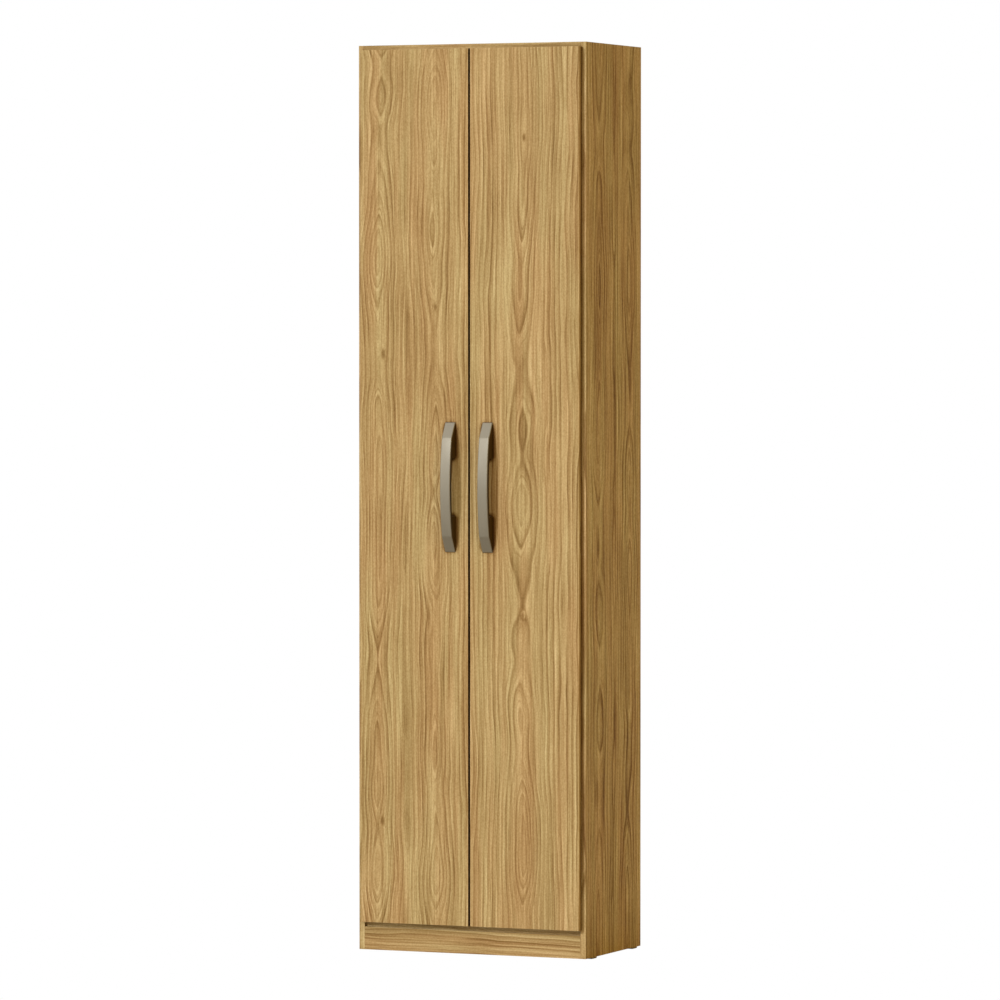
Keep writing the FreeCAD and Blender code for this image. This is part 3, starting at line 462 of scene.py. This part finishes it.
# The doors and the side panels take painted shade in the narrow gaps of the front.
board_finishes = {
    "left_door_panel": wood_finish(
        "left_door_foil", UPRIGHT_FRONT, face=DOOR_FACE, shift=(3.1, 0.7, 5.2),
        columns=((-0.200, 4.4, 0.13), (-0.072, 4.2, 0.14)),
        knots=((-0.190, 1.215, 0.004), (-0.074, 1.310, 0.003), (-0.192, 0.268, 0.004)),
        rims=rims_of("left_door_panel", "XZ"), gap_shade=3.0),
    "right_door_panel": wood_finish(
        "right_door_foil", UPRIGHT_FRONT, face=DOOR_FACE, shift=(8.4, 2.6, 1.9),
        columns=((0.116, 4.2, 0.14), (0.300, 3.0, 0.07)),
        knots=((0.120, 1.650, 0.003), (0.118, 0.690, 0.003)),
        rims=rims_of("right_door_panel", "XZ"), gap_shade=3.0),
    "right_side_panel": wood_finish(
        "right_side_foil", UPRIGHT_SIDE, face=SIDE_FACE, shift=(6.2, 4.1, 7.7),
        columns=((-0.060, 3.5, 0.14), (0.100, 3.8, 0.13)),
        rims=rims_of("right_side_panel", "Y"), coarse=1.2, bold=1.38, tone=0.99, gap_shade=0.7),
    "left_side_panel": wood_finish(
        "left_side_foil", UPRIGHT_SIDE, face=-SIDE_FACE, shift=(1.6, 8.3, 2.4),
        columns=((0.070, 4.2, 0.13), (-0.095, 4.0, 0.13)),
        rims=rims_of("left_side_panel", "Y"), coarse=1.1, bold=1.05, tone=0.99, gap_shade=0.7),
    "centre_divider": wood_finish(
        "divider_foil", UPRIGHT_SIDE, face=DIVIDER_MIDDLE, shift=(4.9, 3.3, 9.1),
        columns=((0.060, 4.4, 0.12),)),
    "front_plinth": wood_finish(
        "plinth_foil", LEVEL_FRONT, face=CARCASS_FRONT, shift=(2.2, 6.8, 3.6),
        columns=((-0.030, 4.0, 0.06),), rims=rims_of("front_plinth", "Z"), tone=0.99),
    # Painted light: the bottom panel is made lighter so its front edge, in the doors' shadow, reads
    # brighter.
    "bottom_panel": wood_finish(
        "floor_foil", LEVEL_BOARD, shift=(1.4, 5.2, 6.6), columns=((0.015, 4.3, 0.10),), tone=1.2),
    "top_panel": wood_finish(
        "top_foil", LEVEL_BOARD, shift=(9.3, 2.9, 4.4), columns=((0.020, 4.0, 0.10),), tone=0.91),
}

# Finishes of the other pieces, by the slot that the record gives each.
HANDLE_METAL = (0.240, 0.223, 0.182)
# Handle flanks: near-black painted shade at the front, brown painted reflection of the shaded door at
# the back.
FLANK_PAINTED_SHADE = (0.06, 0.05, 0.04)
FLANK_PAINTED_REFLECTION = (0.58, 0.36, 0.09)
handle_painted_flanks = ((HANDLE_FRONT, FLANK_PAINTED_SHADE), (DOOR_FACE, FLANK_PAINTED_REFLECTION))
slot_finishes = {
    "rail_wood": wood_finish(
        "shelf_foil", LEVEL_BOARD, shift=(5.5, 1.2, 8.8), columns=((0.015, 4.5, 0.10),)),
    "back_sheet": pressed_board("back_hardboard"),
    "dowel_wood": wood_finish(
        "dowel_beech", LEVEL_BOARD, shift=(7.7, 7.1, 0.4), columns=((0.0, 1.6, 0.04),)),
    "handle_metal": satin_metal(
        "handle_satin_metal", HANDLE_METAL, roughness=0.50, metallic=0.6, painted_flanks=handle_painted_flanks),
    "steel": satin_metal("nickel_plate", grey(0.70), roughness=0.28, metallic=0.7),
    "zinc": satin_metal("cast_zinc", grey(0.56), roughness=0.38, metallic=0.7),
    "clear_plastic": moulded_plastic("pin_plastic", (0.78, 0.76, 0.70)),
    "glide_plastic": moulded_plastic("glide_plastic", (0.24, 0.19, 0.13)),
}
slots = {row["node"]: row["material_slot"] for row in frame["record"]["subparts"]}
for name, piece in frame["nodes"].items():
    piece.data.materials.clear()
    piece.data.materials.append(board_finishes.get(name) or slot_finishes[slots[name]])

# Floor, which the camera sees as white.
FLOOR_SIZE = 60.0
FLOOR_GREY = (0.55, 0.54, 0.52)
bpy.ops.mesh.primitive_plane_add(size=FLOOR_SIZE, location=(0.0, 0.0, 0.0))
floor = bpy.context.object
floor.name = "pale_floor"
floor.data.materials.append(bpy.data.materials.new("pale_floor"))
paving = Nodes(floor.data.materials[0])
matt = paving.add("BsdfDiffuse", (("Color", FLOOR_GREY),))
glow = paving.add("Emission", (("Color", grey(1.0)), ("Strength", 1.0)))
paving.add("OutputMaterial", (("Surface", paving.unless_seen(matt, glow)),))

# Studio light all round, strongest from the upper left front and warm from the right.
STUDIO_LEAN = (-0.55, -0.45, 0.70)
STUDIO_STRENGTH = (0.15, 1.25)
WARM_RANGE = (-0.3, 0.8)
STUDIO_WHITE = (1.0, 0.97, 0.92)
STUDIO_WARM = (1.03, 0.64, 0.05)
bpy.context.scene.world = bpy.data.worlds.new("studio")
studio = Nodes(bpy.context.scene.world)
direction = studio.add("TexCoord").outputs["Generated"]
lean = studio.add("VectorMath", ((0, direction), (1, STUDIO_LEAN)), operation="DOT_PRODUCT")
strength = studio.spread(lean.outputs["Value"], -1.0, 1.0, *STUDIO_STRENGTH)
rightward = studio.add("SeparateXYZ", ((0, direction),)).outputs["X"]
warmth = studio.spread(rightward, *WARM_RANGE, 0.0, 1.0)
hue = studio.mix(warmth, STUDIO_WHITE, STUDIO_WARM)
walls = studio.add("Background", (("Color", hue), ("Strength", strength)))
blank = studio.add("Background", (("Color", grey(1.0)), ("Strength", 1.0)))
studio.add("OutputWorld", (("Surface", studio.unless_seen(walls, blank)),))

# Key light, from the front left and above.
KEY_STRENGTH = 1.35
KEY_SPREAD = math.radians(9.0)
KEY_WAY = Vector((0.39, 0.84, -0.39))
lamp = bpy.data.lights.new("key_light", "SUN")
lamp.energy = KEY_STRENGTH
lamp.angle = KEY_SPREAD
key = bpy.data.objects.new("key_light", lamp)
key.rotation_euler = KEY_WAY.to_track_quat("-Z", "Y").to_euler()
bpy.context.scene.collection.objects.link(key)

# Camera at the photograph's place.
CAMERA_AIM = Vector((0.06239, -0.126, 0.92203))
CAMERA_DISTANCE = 12.34508
CAMERA_YAW = math.radians(23.505)
CAMERA_PITCH = math.radians(1.7056)
LENS_LENGTH = 220.776
SENSOR_WIDTH = 36.0
VIEW_REACH = 100.0
forward = Vector((-math.sin(CAMERA_YAW) * math.cos(CAMERA_PITCH),
                  math.cos(CAMERA_YAW) * math.cos(CAMERA_PITCH), -math.sin(CAMERA_PITCH)))
lens = bpy.data.cameras.new("camera")
lens.lens = LENS_LENGTH
lens.sensor_width = SENSOR_WIDTH
lens.clip_end = VIEW_REACH
camera = bpy.data.objects.new("camera", lens)
camera.location = CAMERA_AIM - forward * CAMERA_DISTANCE
camera.rotation_euler = forward.to_track_quat("-Z", "Y").to_euler()
bpy.context.scene.collection.objects.link(camera)
bpy.context.scene.camera = camera
